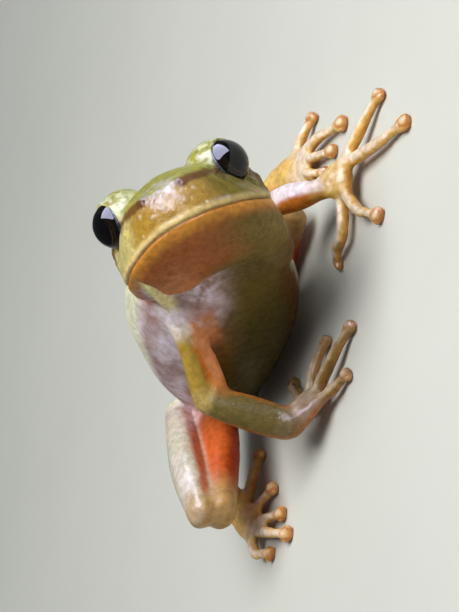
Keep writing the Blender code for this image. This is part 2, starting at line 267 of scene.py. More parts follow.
for side, arm in ARMS.items():
    shoulder, elbow, wrist = (np.array(arm[joint]) for joint in ("shoulder", "elbow", "wrist"))
    bend = np.cross(shoulder - elbow, wrist - elbow)
    slim = np.array(arm["slim"])
    add_tube("upper_arm_" + side, [shoulder, arm["armpit"], elbow], UPPER_ARM_RADII,
             UPPER_ARM_RADII, bend)
    add_tube("forearm_" + side, [elbow, (elbow * 2 + wrist) / 3, (elbow + wrist * 2) / 3, wrist],
             slim * FOREARM_WIDTHS, slim * FOREARM_DEPTHS, bend)
    add_tube("hand_" + side, [wrist, arm["palm_end"]], [1.10 * slim[3], 1.45],
             [0.92 * slim[3], 0.60], (0, 0, 1))
    for number, places in enumerate(arm["fingers"], 1):
        add_digit("finger_%s_%d" % (side, number), places)

# Ridge of skin from jaw to shoulder, and the fold from chest to elbow
add_tube("shoulder_ridge", [(-3.9, -5.1, 12.9), (-3.5, -3.2, 11.5), (-3.0, -1.5, 10.35),
                            (-3.45, -0.7, 9.55)], RIDGE_RADII, RIDGE_RADII, (0, 0, 1))
add_tube("arm_fold", [(-2.9, -1.3, 8.9), (-4.3, 0.0, 7.9), (-5.6, 0.8, 6.9), (-6.7, 1.0, 6.0)],
         [0.35, 0.62, 0.66, 0.42], [0.30, 0.34, 0.34, 0.40], (-0.45, -0.84, 0.31))

# Legs and feet: thigh and shank folded together, a slim tarsus, a long foot and five toes.
# They are lofted in the same way as the arms.
LEGS = {
    "right": {
        "hip": (-1.7, 11.1, 3.2), "thigh": (-6.5, 8.8, 3.4), "knee": (-11.8, 6.3, 4.2),
        "shin": (-12.1, 6.3, 5.3), "calf": (-8.2, 8.5, 5.5), "heel": (-3.3, 11.5, 5.1),
        "sole": (-9.1, 11.5, 1.1), "ball": (-10.9, 9.6, 0.8),
        "toes": [((-8.9, 10.8, 0.8), (-7.5, 10.4, 0.7), (-5.8, 10.0)),
                 ((-10.0, 10.0, 0.8), (-9.6, 9.1, 0.7), (-9.0, 7.7)),
                 ((-10.7, 9.3, 0.8), (-11.0, 8.0, 0.7), (-11.3, 6.3)),
                 ((-11.3, 9.2, 0.8), (-12.2, 7.2, 0.8), (-13.0, 5.3)),
                 ((-11.4, 10.1, 0.8), (-12.6, 9.6, 0.7), (-13.1, 8.2))]},
    "left": {
        "hip": (0.0, 10.3, 2.1), "thigh": (3.3, 6.3, 1.9), "knee": (6.2, 1.8, 1.8),
        "shin": (6.9, 3.1, 1.8), "calf": (7.5, 6.7, 1.8), "heel": (8.5, 12.7, 1.5),
        "sole": (10.3, 5.1, 1.1), "ball": (10.1, 2.5, 0.8),
        "toes": [((9.4, 2.8, 0.8), (8.8, 2.0, 0.7), (8.0, 1.1)),
                 ((9.6, 2.2, 0.8), (8.8, 0.7, 0.7), (8.2, -0.7)),
                 ((10.1, 1.9, 0.8), (9.6, 0.1, 0.7), (9.1, -1.9)),
                 ((10.6, 2.0, 0.8), (10.6, -0.4, 0.7), (10.2, -3.5)),
                 ((10.9, 2.7, 0.8), (11.9, 2.3, 0.7), (13.2, 1.4))]},
}
LEG_LENGTHS = {                  # stops, half widths, half depths
    "thigh": (("hip", "thigh", "knee"), [1.5, 1.85, 1.25], [1.3, 1.2, 0.95]),
    "shank": (("shin", "calf", "heel"), [1.05, 1.30, 0.95], [0.90, 1.05, 0.85]),
    "tarsus": (("heel", "sole"), [0.66, 0.94], [0.62, 0.76]),
    "foot": (("sole", "ball"), [0.98, 1.22], [0.74, 0.54])}
for side, leg in LEGS.items():
    flat = np.array(leg["shin"]) - np.array(leg["knee"])
    for name, (stops, widths, depths) in LEG_LENGTHS.items():
        add_tube(name + "_" + side, [leg[stop] for stop in stops], widths, depths,
                 flat if name in ("thigh", "shank") else (0, 0, 1))
    for number, places in enumerate(leg["toes"], 1):
        add_digit("toe_%s_%d" % (side, number), places)

# Skin: one thin moist hide over all the forms, with no seam.
# The forms are fused on a fine lattice, the joins are eased, and then the lids, lips, nostrils
# and folds are raised or sunk along the surface.
LATTICE = 0.09                    # mm
LID_OPENING = radians(72)         # half angle of the open lids, seen from the eye's centre
SOCKET_DEPTH = 0.22
LID_EDGE = 0.10
TRIANGLES = 190000


def new_mesh(name, points, faces):
    """A smooth mesh object from points and faces."""
    mesh = bpy.data.meshes.new(name)
    mesh.from_pydata(np.asarray(points).tolist(), [], faces)
    mesh.validate()
    mesh.shade_smooth()
    piece = bpy.data.objects.new(name, mesh)
    bpy.context.collection.objects.link(piece)
    return piece


def with_modifiers_applied(piece):
    """The mesh as its modifiers leave it, and no modifier left on the piece."""
    state = bpy.context.evaluated_depsgraph_get()
    mesh = bpy.data.meshes.new_from_object(piece.evaluated_get(state))
    piece.modifiers.clear()
    old = piece.data
    piece.data = mesh
    bpy.data.meshes.remove(old)


def mesh_rows(items, key, width=3, kind=np.float32):
    """What every point or edge of a mesh holds under a key, one row for each."""
    flat = np.empty(len(items) * width, kind)
    items.foreach_get(key, flat)
    return flat.reshape(-1, width).astype(float if kind is np.float32 else int)


def move_points(points):
    """Put the skin's points at new places."""
    skin.data.vertices.foreach_set("co", points.astype(np.float32).ravel())
    skin.data.update()


def relax(points, edges, share, passes):
    """Each pass moves a point its share of the way to the mean of its neighbours."""
    share = np.broadcast_to(share, len(points))
    moving = np.nonzero(share > 0.002)[0]
    number = np.full(len(points), -1)
    number[moving] = np.arange(len(moving))
    starts, ends = np.concatenate([edges, edges[:, ::-1]]).T
    near = number[starts] >= 0
    starts, ends = number[starts[near]], ends[near]
    count = np.maximum(np.bincount(starts, minlength=len(moving)), 1)[:, None]
    points = points.copy()
    for _ in range(passes):
        mean = np.stack([np.bincount(starts, points[ends, axis], len(moving))
                         for axis in range(3)], -1)
        points[moving] += share[moving, None] * (mean / count - points[moving])
    return points


def hill(distance, reach):
    """A bell curve: 1 at no distance, near 0 beyond twice the reach."""
    return np.exp(-(distance / reach) ** 2)


def mottle(points, size, seed):
    """Soft patches from -1 to 1: seeded random values on a lattice of that size in millimetres,
    eased from corner to corner."""
    values = np.random.default_rng(seed).uniform(-1, 1, (32, 32, 32))
    place = points / size + 64.5
    low = np.floor(place).astype(int)
    f = place - low
    f = f * f * (3 - 2 * f)
    total = np.zeros(len(points))
    for corner in np.ndindex(2, 2, 2):
        cell = (low + corner) % 32
        weight = np.prod(np.where(np.array(corner) == 1, f, 1 - f), axis=1)
        total += weight * values[cell[:, 0], cell[:, 1], cell[:, 2]]
    return total


def part_field(points, part):
    """How far points lie outside a limb or the trunk, how far along it from 0 to 1, and the
    sideways and over shares of their way out. The distance is the one to the path, less the oval's
    radius that way: 1 over the root of (side/width) squared plus (over/depth) squared."""
    path = part["path"]
    reach = max(part["widths"].max(), part["depths"].max()) + 1.0
    far = np.full(len(points), 9.0)
    along, sideways, over = np.zeros(len(points)), np.zeros(len(points)), np.zeros(len(points))
    near = np.all((points > path.min(0) - reach) & (points < path.max(0) + reach), 1).nonzero()[0]
    if not len(near):
        return far, along, sideways, over
    spot = points[near]
    squares = np.stack([((spot - stop) ** 2).sum(1) for stop in path[::2]])
    start = np.clip(squares.argmin(0) * 2, 1, len(path) - 2)
    ahead = path[start + 1] - path[start - 1]
    shift = ((spot - path[start]) * ahead).sum(1) / (ahead ** 2).sum(1)
    place = np.clip(start + 2 * shift, 0, len(path) - 1)
    low = np.minimum(place.astype(int), len(path) - 2)
    t = (place - low)[:, None]
    centre, side, up = (part[key][low] * (1 - t) + part[key][low + 1] * t
                        for key in ("path", "side", "over"))
    steps = np.arange(len(path))
    width, depth = np.interp(place, steps, part["widths"]), np.interp(place, steps, part["depths"])
    out = spot - centre
    length = np.maximum(np.linalg.norm(out, axis=1), 1e-6)
    s, o = (out * side).sum(1) / length, (out * up).sum(1) / length
    flat = np.sqrt(np.maximum(s * s + o * o, 1e-6))
    radius = flat / np.sqrt((s / width) ** 2 + (o / depth) ** 2)
    far[near] = length - np.where(flat > 0.5, radius, np.minimum(width, depth) * 0.8)
    along[near], sideways[near], over[near] = place / (len(path) - 1), s, o
    return far, along, sideways, over


def head_spot(points):
    """Places given ahead, left and up of the middle of the line through the eyes."""
    return (points - HEAD_CENTRE) @ head_axes.T


def head_field(spot):
    """How far places lie outside the head. A place's share of its squarish section is the root
    of the powers' sum; less 1 and times the smaller half size, plus what is past either end."""
    width, crown, lips, throat = (np.interp(spot[:, 0], head_columns[:, 0], head_columns[:, column])
                                  for column in (1, 2, 3, 4))
    width = width * HEAD_HALF_WIDTH
    height = np.where(spot[:, 2] > lips, crown - lips, lips - throat)
    share = ((np.abs(spot[:, 1]) / width) ** HEAD_SQUARE
             + (np.abs(spot[:, 2] - lips) / height) ** HEAD_SQUARE) ** (1 / HEAD_SQUARE)
    beyond = np.maximum(np.maximum(spot[:, 0] - 4.7, -4.9 - spot[:, 0]), 0)
    return (share - 1) * np.minimum(width, height) + beyond


def away(spot, place, stretch=1):
    """How far places lie from one place, with each direction weighed by its stretch."""
    return np.linalg.norm((spot - place) * stretch, axis=1)


def line_distance(spot, a, b):
    """The distance from places to the straight line from a to b."""
    a, b = np.array(a, float), np.array(b, float)
    t = np.clip(((spot - a) @ (b - a)) / ((b - a) @ (b - a)), 0, 1)
    return np.linalg.norm(spot - a - t[:, None] * (b - a), axis=1)


skin = new_mesh("skin", np.vstack(clay_points), clay_faces)
fuse = skin.modifiers.new("fuse", "REMESH")
fuse.mode = "VOXEL"
fuse.voxel_size = LATTICE
with_modifiers_applied(skin)

# Joins between the forms are eased where a second form lies close to the surface
points = mesh_rows(skin.data.vertices, "co")
edges = mesh_rows(skin.data.edges, "vertices", 2, np.int32)
points = relax(points, edges, 0.5, 3)
spot = head_spot(points)
gaps = [np.abs(head_field(spot))] + [np.abs(part_field(points, part)[0]) for part in parts]
for side in ("left", "right"):
    lid = eye_centres[side] - eye_axes[side] * LID_SETBACK
    gaps.append(np.abs(away(points, lid) - LID_RADIUS))
gaps = np.sort(np.stack(gaps), 0)
ahead, left, up = spot.T
under_jaw = ease(-3.2, -4.2, up) * ease(1.6, 0.2, left)
under_jaw *= hill(np.maximum(np.abs(head_field(spot)) - 0.3, 0), 0.5)
join = hill(gaps[1], 0.45) * (1 - 0.85 * under_jaw)
arm_edge = hill(line_distance(points, (-3.6, -0.5, 9.5), (-6.6, 1.5, 7.2)), 0.9)
points = relax(points, edges, 0.9 * join * (1 - 0.75 * arm_edge), 30)
nape = ease(-3.0, -1.0, up) * ease(-2.2, -3.6, ahead) * hill(np.abs(ahead + 5.2), 3.0)
nape *= ease(5.6, 4.8, np.abs(left)) * ease(-7.0, -5.5, up)
points = relax(points, edges, 0.95 * nape, 160)
spot = head_spot(points)
ahead, left, up = spot.T
dewlap = ease(-1.6, 0.2, behind_fold(spot)) * ease(7.0, 4.5, behind_fold(spot))
dewlap *= ease(-1.5, 0.6, left) * ease(-2.6, -4.0, up)
dewlap *= ease(-7.5, -6.5, up) * ease(5.8, 5.2, left)
points = relax(points, edges, 0.95 * dewlap, 380)
move_points(points)
normals = mesh_rows(skin.data.vertices, "normal")
spot = head_spot(points)
on_head = hill(np.maximum(np.abs(head_field(spot)) - 0.25, 0), 0.35)
mirror = np.abs(spot) * (0, 1, 0) + spot * (1, 0, 1)

# Height over the mouth's line, which runs round the snout from corner to corner
LIP_LINE = ([-3.2, -2.3, 0.0, 2.5, 4.7], [-2.50, -2.65, -3.10, -3.30, -3.42])
LIP_SKEW = -0.012


def over_lips(spot):
    """How far above the line of the mouth a place is; the line rises a little on the left."""
    line = np.interp(spot[:, 0], *LIP_LINE) - LIP_SKEW * spot[:, 1] * np.abs(spot[:, 1])
    return spot[:, 2] - line


# Small warts between the nostril and the lip, the same on either side; their pale colour is partly
# a painted glint
WARTS = [(4.05, 1.75, -1.70), (4.60, 1.05, -2.30), (3.95, 2.05, -2.85), (2.75, 3.15, -2.80)]
NOSTRIL = (4.15, 1.20, -1.06)
BROW = (1.2, 3.0, -0.1), (3.9, 1.25, -0.85)         # the ridge from eye to nostril, end to end
EAR = (-2.3, 4.7, -1.5)
EAR_FOLD = (-1.4, 4.5, -0.5), (-3.6, 4.6, -2.2)
CHEEK_HOLLOW, FOREHEAD = (2.7, 2.7, -1.9), (1.4, 0, 0.9)
TEMPLE, JAW_CORNER = (-1.6, 4.3, -0.7), (-3.1, 4.6, -3.3)
PAD_GROOVE = 0.38                                   # radius

lift = np.zeros(len(points))
mouth = on_head * ease(-3.0, -2.2, spot[:, 0])
mouth *= ease(0.5, 0.2, np.abs(normals @ head_axes[2]) - 0.25)
height = over_lips(spot)
lift -= mouth * 0.12 * hill(height, 0.09)
lift += mouth * (0.045 * hill(height - 0.24, 0.17) + 0.04 * hill(height + 0.30, 0.22))
lift += on_head * 0.16 * hill(line_distance(mirror, *BROW), 0.38)
lift -= on_head * 0.20 * hill(away(mirror, CHEEK_HOLLOW), 0.85)
lift += on_head * 0.12 * hill(away(mirror, FOREHEAD, (0.6, 1, 0.6)), 1.3)
nostril = away(mirror, NOSTRIL)
lift += on_head * (0.015 * hill(nostril - 0.19, 0.13) - 0.13 * hill(nostril, 0.09))
lift += on_head * 0.07 * hill(away(mirror, EAR, (1, 0.5, 1)) - 0.55, 0.14)
lift += on_head * 0.16 * hill(line_distance(mirror, *EAR_FOLD), 0.28)
for wart in WARTS:
    lift += 0.06 * hill(away(mirror, wart), 0.12)
lift += on_head * 0.36 * hill(away(mirror, TEMPLE), 1.1)
lift += 0.14 * hill(away(mirror, JAW_CORNER), 0.65)
low_down = ease(0.2, 0.35, points[:, 2]) * ease(1.4, 1.1, points[:, 2])
for part in parts:
    if part["name"].startswith(("finger", "toe")):
        from_pad = away(points[:, :2], part["path"][-1][:2])
        lift -= 0.05 * hill(from_pad - PAD_GROOVE, 0.07) * low_down
lumps = ease(0.1, 0.9, mottle(points, 0.30, 3)) + 0.8 * ease(0.1, 0.9, mottle(points, 0.19, 4))
lift += 0.016 * lumps * ease(0.05, 0.4, points[:, 2])
points = points + normals * lift[:, None]

# Open lids: the skin dips under the eyeball inside the opening and stands just proud round it
for side in ("left", "right"):
    out = points - eye_centres[side]
    distance = np.maximum(np.linalg.norm(out, axis=1), 1e-6)
    angle = np.arccos(np.clip((out @ eye_axes[side]) / distance, -1, 1))
    edge = LID_OPENING - angle
    inside = ease(0.0, radians(9), edge)
    target = (EYE_RADIUS + LID_EDGE) * (1 - inside) + (EYE_RADIUS - SOCKET_DEPTH) * inside
    around = hill(np.maximum(-edge, 0), radians(14))
    lean = around * np.clip(EYE_RADIUS + LID_EDGE - distance, -0.25, 1)
    wanted = np.where(edge > 0, target, distance + lean)
    wanted = np.maximum(wanted, np.where(edge > 0, 0, EYE_RADIUS + 0.06))
    factor = np.where(distance < EYE_RADIUS + 1.2, wanted / distance, 1.0)
    points = eye_centres[side] + out * factor[:, None]

# Soles and pads lie flat on the floor
points[:, 2] = np.where(points[:, 2] < 0.03, 0.0, points[:, 2])
move_points(points)

# Fewer faces: the head keeps the most, and the limbs more than the trunk
spot = head_spot(points)
keep = ease(-4.5, -2.5, spot[:, 0]) * ease(7.5, 6.0, np.linalg.norm(spot, axis=1))
group = skin.vertex_groups.new(name="coarse")
keep = np.maximum(keep, 0.55 * ease(0.8, 1.6, part_field(points, parts[0])[0]))
levels = np.round((1 - 0.9 * keep) * 20).astype(int)
for level in np.unique(levels):
    group.add(np.nonzero(levels == level)[0].tolist(), level / 20, "REPLACE")
triangles = sum(len(p.vertices) - 2 for p in skin.data.polygons)
thin = skin.modifiers.new("thin", "DECIMATE")
thin.ratio = min(1.0, TRIANGLES / triangles)
thin.vertex_group = "coarse"
thin.vertex_group_factor = 0.6
with_modifiers_applied(skin)
skin.vertex_groups.clear()

# Colours of the skin, as a maker would paint them: broad washes by place, then mottling, with
# painted shade on the left side, the belly and the soles, and painted highlights where wet skin
# shines.
# They are kept on the skin's points; fine speckles and grains come from the material.
BACK = (0.30, 0.29, 0.075)
CROWN = (0.34, 0.34, 0.05)
SNOUT = (0.42, 0.25, 0.035)
CHEEK = (0.60, 0.52, 0.20)
# Painted shade: a darker olive for the left cheek and the left of the face
CHEEK_PAINTED_SHADE = (0.19, 0.145, 0.012)
STRIPE = (0.155, 0.062, 0.018)
LIP = (0.80, 0.62, 0.28)
JAW = (0.62, 0.27, 0.045)
FOLD_PINK = (0.66, 0.25, 0.10)
THROAT = (0.40, 0.115, 0.030)
# Dark olive-brown of the throat, laid partly as painted shade
THROAT_OLIVE_AND_SHADE = (0.185, 0.120, 0.024)
LIP_SEAM = (0.22, 0.07, 0.02)
SIDE_BAND = (0.86, 0.88, 0.66)
# Pale mauve of the flank, also laid as painted highlight on the left forearm and the shank
PALE_MAUVE_AND_HIGHLIGHT = (0.90, 0.79, 0.90)
FLANK_DARK = (0.40, 0.235, 0.21)
CHEST = (0.50, 0.31, 0.29)
# The belly's own dark olive, made darker still as painted shade
BELLY_OLIVE_AND_SHADE = (0.080, 0.060, 0.011)
LEFT_SIDE_PAINTED_SHADE = (0.14, 0.050, 0.009)
ARM_GREEN = (0.44, 0.29, 0.050)
ARM_PAINTED_HIGHLIGHT = (0.96, 0.88, 0.86)
OLIVE = (0.155, 0.118, 0.036)
RIM_ORANGE = (0.56, 0.175, 0.025)
HAND = (0.33, 0.235, 0.18)
TAN = (0.27, 0.165, 0.045)
PAD = (0.66, 0.41, 0.17)
THIGH = (0.60, 0.115, 0.022)
THIGH_DEEP = (0.46, 0.045, 0.010)
SHANK = (0.62, 0.58, 0.48)
KNEE = (0.48, 0.33, 0.13)
FOOT = (0.82, 0.54, 0.17)
FOOT_PAINTED_SHADE = (0.58, 0.28, 0.075)
PAINTED_WET_HIGHLIGHT = (0.95, 0.84, 0.98)
TAB = (0.92, 0.84, 0.38)
GOLDEN = (0.80, 0.50, 0.13)
LID_PAINTED_HIGHLIGHT = (0.72, 0.76, 0.56)
NOSE_PAINTED_HIGHLIGHT = (0.52, 0.47, 0.60)
PAINTED_PALE_GLINT = (0.92, 0.80, 0.72)
PAD_DARK = (0.40, 0.27, 0.15)
# The middle of the nose's painted highlight, and the line of the upper lip's
NOSE_MIDDLE = (4.2, -0.1, -0.9)
LIP_GLEAM = (4.0, 2.0, -2.9), (2.6, 3.2, -2.75)
SNOUT_STRIPE = (1.2, 3.3, -0.8), (3.1, 2.2, -0.85), (4.10, 1.25, -1.08)
EAR_STRIPE = (-1.2, 4.6, -0.8), (-4.6, 4.6, -1.6)
TEMPLE_STRIPE = (-1.5, 4.4, -0.8), (-2.7, 4.8, -2.2)


def painted(base, *washes):
    """A base colour or paint with washes laid over it in turn. Each wash is a colour or a paint
    and its share: the step to it from what lies below, times the share."""
    paint = np.array(base, float)
    for colour, share in washes:
        paint = paint + (np.array(colour) - paint) * np.asarray(share)[:, None]
    return paint


points, normals = (mesh_rows(skin.data.vertices, key) for key in ("co", "normal"))
spot = head_spot(points)
mirror = np.abs(spot) * (0, 1, 0) + spot * (1, 0, 1)
facing = normals @ head_axes.T
broad, small, fine = mottle(points, 1.1, 5), mottle(points, 0.42, 6), mottle(points, 0.2, 7)
near_lid = np.minimum(*[np.abs(away(points, eye_centres[side]) - EYE_RADIUS)
                        for side in ("left", "right")])


def chain_distance(spot, stops):
    """The distance from places to the nearest span of a chain of stops."""
    return np.minimum.reduce([line_distance(spot, a, b) for a, b in zip(stops, stops[1:])])


def head_paint():
    """Olive crown, golden snout, brown stripes, cream upper lip, orange jaw, brown throat, with
    painted shade on the left cheek and throat and painted highlights on the lids, nose, lip and
    warts.
    """
    ahead, left, up = spot.T
    height, pit = over_lips(spot), away(mirror, NOSTRIL)
    depth = -height + 0.12 * small
    # Painted highlight on the upper, light-facing side of the lids
    lid_highlight = hill(near_lid, 0.75) * ease(-0.2, 0.5, facing[:, 2] + 0.3 * facing[:, 0])
    # Painted highlight: a pale wet gleam between the nostrils
    wet = hill(away(spot, NOSE_MIDDLE, (0.7, 0.95, 1.35)), 1.0)
    stripe = chain_distance(mirror, SNOUT_STRIPE) + 0.10 * small
    rear = np.minimum(line_distance(mirror, *EAR_STRIPE) + 0.12 * small,
                      line_distance(mirror, *TEMPLE_STRIPE) + 0.15 * small)
    throat = painted(
        JAW, (THROAT, ease(0.35, 0.95, depth)),
        # Painted shade: the throat darkens on its left side and behind its fold
        (THROAT_OLIVE_AND_SHADE, ease(0.0, 3.6, left + 0.3 * broad) * ease(0.4, 1.1, depth)),
        (THROAT_OLIVE_AND_SHADE, 0.9 * ease(-1.7, -0.2, behind_fold(spot)) * ease(-1.6, 1.0, left)),
        (FOLD_PINK, 0.75 * ease(1.2, 2.0, depth) * ease(0.3, -2.0, left)))
    return painted(
        # Painted shade: the left side of the face is washed darker than the right
        CHEEK, (CHEEK_PAINTED_SHADE, ease(-0.8, 2.6, left + 0.4 * broad)),
        (SNOUT, ease(2.2, 3.8, ahead + 0.2 * broad)),
        (CROWN, ease(0.10, 0.55, facing[:, 2] + 0.1 * broad) * ease(-1.5, -0.7, up)),
        (BACK, ease(-1.5, -3.5, ahead) * ease(-1.9, -0.8, up)),
        (LID_PAINTED_HIGHLIGHT, 0.75 * lid_highlight * ease(-0.7, 0.3, small + fine)),
        (NOSE_PAINTED_HIGHLIGHT, 0.85 * wet * ease(-0.8, 0.2, small + 0.8 * fine)),
        # Painted glint on the warts
        *[(PAINTED_PALE_GLINT, 0.6 * hill(away(mirror, wart), 0.11)) for wart in WARTS],
        # Painted highlight along the upper lip
        (NOSE_PAINTED_HIGHLIGHT, 0.5 * hill(line_distance(spot, *LIP_GLEAM), 0.13) * ease(-0.5, 0.3, small)),
        (STRIPE, 0.5 * ease(0.50, 0.25, pit)), (STRIPE, 0.8 * ease(0.16, 0.06, pit)),
        (STRIPE, 0.9 * ease(0.40, 0.16, stripe)), (STRIPE, 0.85 * ease(0.70, 0.35, rear)),
        (LIP, ease(0.0, 0.06, height) * ease(0.66, 0.20, height + 0.08 * small)
         * (0.95 - 0.40 * ease(1.0, 3.5, left))),
        (throat, ease(0.02, -0.06, height)),
        (LIP_SEAM, 0.75 * hill(height, 0.06) * ease(-3.3, -2.6, ahead)))


def trunk_paint(along, sideways, over):
    """Olive back, cream band along each side, mauve mottled flank, pinkish chest, olive belly, with
    a painted highlight on the chest and painted shade over the belly and the left side.
    """
    lean = np.degrees(np.arctan2(over, np.abs(sideways))) + 4 * broad
    blotch = 0.85 * ease(-0.15, 0.40, 0.6 * broad + 0.7 * small + 0.3 * fine)
    flank = painted(
        PALE_MAUVE_AND_HIGHLIGHT, (FLANK_DARK, blotch),
        (FLANK_DARK, 0.7 * hill(lean + 25, 5) + 0.6 * ease(-52, -62, lean)),
        # Painted shade: the flank is washed brown on the left side
        (LEFT_SIDE_PAINTED_SHADE, ease(0.35, 0.0, sideways) * ease(0.95, 0.75, along)))
    # Painted highlight: a mottled wet gleam on the right of the chest
    wet = 0.95 * hill(along - 0.04, 0.15) * hill(sideways - 0.32, 0.30)
    belly = painted(
        # Painted shade: the belly darkens sooner on the left, and the left of the chest and the
        # lower left side are washed dark
        CHEST, (BELLY_OLIVE_AND_SHADE, ease(0.12, 0.42, along + 0.35 * ease(0.35, -0.5, sideways))),
        (RIM_ORANGE, 0.5 * hill(along - 0.28, 0.2) * hill(sideways - 0.28, 0.22)),
        (THROAT_OLIVE_AND_SHADE, 0.7 * ease(0.12, -0.20, sideways) * ease(0.40, 0.10, along)),
        (PAINTED_WET_HIGHLIGHT, wet * ease(-0.6, 0.4, 0.4 * broad + 0.8 * small + 0.8 * fine)),
        (LEFT_SIDE_PAINTED_SHADE, 0.9 * ease(-46, -30, lean) * ease(0.0, -0.3, sideways)))
    reach = 34 * ease(0.2, -0.3, sideways)      # the belly's painted shade comes further up on the left
    return painted(
        # Painted shade: the cream band is fainter on the left side
        BACK, (SIDE_BAND, ease(24, 8, lean) * (0.35 + 0.65 * ease(-0.5, 0.0, sideways))),
        (flank, ease(-12, -20, lean)), (belly, ease(-50 + reach, -60 + reach, lean)))


def limb_paint(part, along):
    """The washes of one length of a limb, a digit or a fold of skin, with painted highlights and
    painted shade among them.
    """
    name, outer = part["name"], normals[:, 2]
    if name.startswith("upper_arm"):
        # Painted highlight at the upper end of the arm
        return painted(ARM_GREEN, (ARM_PAINTED_HIGHLIGHT, ease(0.52, 0.26, along)))
    if name == "shoulder_ridge":
        # The ridge's lower end carries a painted highlight
        return painted(TAB, (PAINTED_WET_HIGHLIGHT, ease(0.55, 0.85, along)))
    if name == "arm_fold":
        # A pink fold with a mottled painted highlight at its upper end
        return painted(
            FOLD_PINK, (PAINTED_WET_HIGHLIGHT, 0.7 * ease(0.45, 0.1, along) * ease(-0.4, 0.4, small + fine)),
            (RIM_ORANGE, 0.6 * ease(0.3, 0.6, along)))
    if name == "forearm_left":
        # The pale top of the left forearm is a painted highlight; its underside is orange
        under = normals @ unit((-0.895, 0.415, -0.165))
        return painted(PALE_MAUVE_AND_HIGHLIGHT, (RIM_ORANGE, ease(-0.02, 0.35, under)))
    if name == "forearm_right":
        edge = np.abs(normals @ unit((0.9, -0.3, 0.3)))
        return painted(OLIVE, (LIP, 0.55 * ease(0.18, 0.0, along)),
                       (RIM_ORANGE, 0.8 * ease(0.65, 0.95, edge)))
    if name.startswith("hand"):
        return painted(
            GOLDEN if "left" in name else HAND, (OLIVE, 0.5 * ease(0.4, 0.0, along)),
            # Painted highlight on the upper side of the hand
            (PAINTED_PALE_GLINT, 0.4 * ease(0.6, 0.98, outer + 0.25 * small)),
            (RIM_ORANGE, 0.7 * ease(0.3, -0.4, outer)))
    if name.startswith(("finger", "toe")):
        base, pad, top_highlight_share, ring, rim = FOOT if "toe" in name else GOLDEN, PAD, 0.8, 0.8, 0.7
        if name.startswith("finger_right"):
            base, pad, top_highlight_share, ring, rim = TAN, PAD_DARK, 0.35, 0.4, 0.4
        # Painted highlight on the upper side of each digit and in the middle of its pad
        painted_top_highlight = ease(0.50, 0.95, outer + 0.25 * small) * ease(0.82, 0.62, along)
        from_pad = away(points[:, :2], part["path"][-1][:2])
        return painted(
            base, (PAINTED_PALE_GLINT, top_highlight_share * painted_top_highlight), (pad, ease(0.60, 0.40, from_pad)),
            (RIM_ORANGE, ring * hill(from_pad - 0.36, 0.07)),
            (PAINTED_PALE_GLINT, 0.5 * ease(0.22, 0.08, from_pad)),
            (RIM_ORANGE, rim * ease(0.35, -0.3, outer)))
    if name.startswith("thigh"):
        return painted(THIGH, (THIGH_DEEP, ease(0.2, -0.7, outer + 0.2 * broad)),
                       (KNEE, 0.85 * ease(0.78, 0.98, along)))
    if name.startswith("shank"):
        return painted(
            # Painted highlight: a pale band on the side of the shank that faces up and forwards
            SHANK, (PALE_MAUVE_AND_HIGHLIGHT, 0.9 * ease(0.60, 0.90, normals @ unit((-0.5, -0.6, 0.6)))),
            (THIGH, 0.85 * ease(0.35, -0.15, outer + 0.2 * broad)),
            (KNEE, 0.8 * ease(0.18, 0.0, along + 0.05 * small)))
    # Painted shade on the downward-facing side of the foot and tarsus
    return painted(FOOT, (FOOT_PAINTED_SHADE, 0.8 * ease(0.1, -0.5, outer)),
                   (THIGH, 0.3 * ease(0.2, 0.8, broad)))


def closeness(distance, reach=0.28):
    """1 on a form's own surface, falling away outside it."""
    return np.exp(-(np.clip(distance + 0.12, 0, None) / reach) ** 2)


WETNESS = {"trunk": 0.08, "upper": 0.18, "forearm": 0.06, "hand": 0.40, "finger": 0.50,
           "toe": 0.50, "foot": 0.35, "tarsus": 0.30, "shank": 0.40, "thigh": 0.15,
           "throat": 0.08, "nape": 0.02}
gap = head_field(spot)
tucked = ease(0.1, 0.35, behind_fold(spot)) * ease(-3.6, -4.1, spot[:, 2])
weight = np.maximum(closeness(gap, 0.45), closeness(near_lid, 0.8)) * (1 - tucked) + 1e-4
total = weight.copy()
coat = head_paint() * weight[:, None]
snout = hill(away(spot, NOSE_MIDDLE), 1.9)
wetness = weight * (0.14 + 0.06 * ease(0.3, 0.8, over_lips(spot)) + 0.34 * snout)
for part in parts:
    distance, along, sideways, over = part_field(points, part)
    weight = closeness(distance, 0.5 if part["name"] == "trunk" else 0.28)
    weight = weight * (4 if part["name"] == "shoulder_ridge" else 1)
    if part["name"] == "trunk":
        weight = np.maximum(weight * ease(0.0, 0.6, gap), tucked * closeness(distance, 1.6))
        trunk_coat = paint = trunk_paint(along, sideways, over)
    elif part["name"] == "throat_slack":
        paint, weight = trunk_coat, weight * tucked
    elif part["name"] == "nape":
        paint, weight = np.array(BACK), weight * ease(-3.5, -5.0, spot[:, 0])
    else:
        paint = limb_paint(part, along)
    coat += paint * weight[:, None]
    damp = WETNESS.get(part["name"].split("_")[0], 0.2)
    if part["name"] == "trunk":
        damp = damp * (0.25 + 0.75 * ease(0.3, -0.2, over))
    if part["name"] == "forearm_right":
        damp = damp + 0.4 * ease(0.7, 1.0, along)
    wetness += weight * damp
    total += weight
coat /= total[:, None]
wetness /= total
coat *= (1 + 0.10 * broad + 0.08 * small + 0.05 * fine)[:, None]

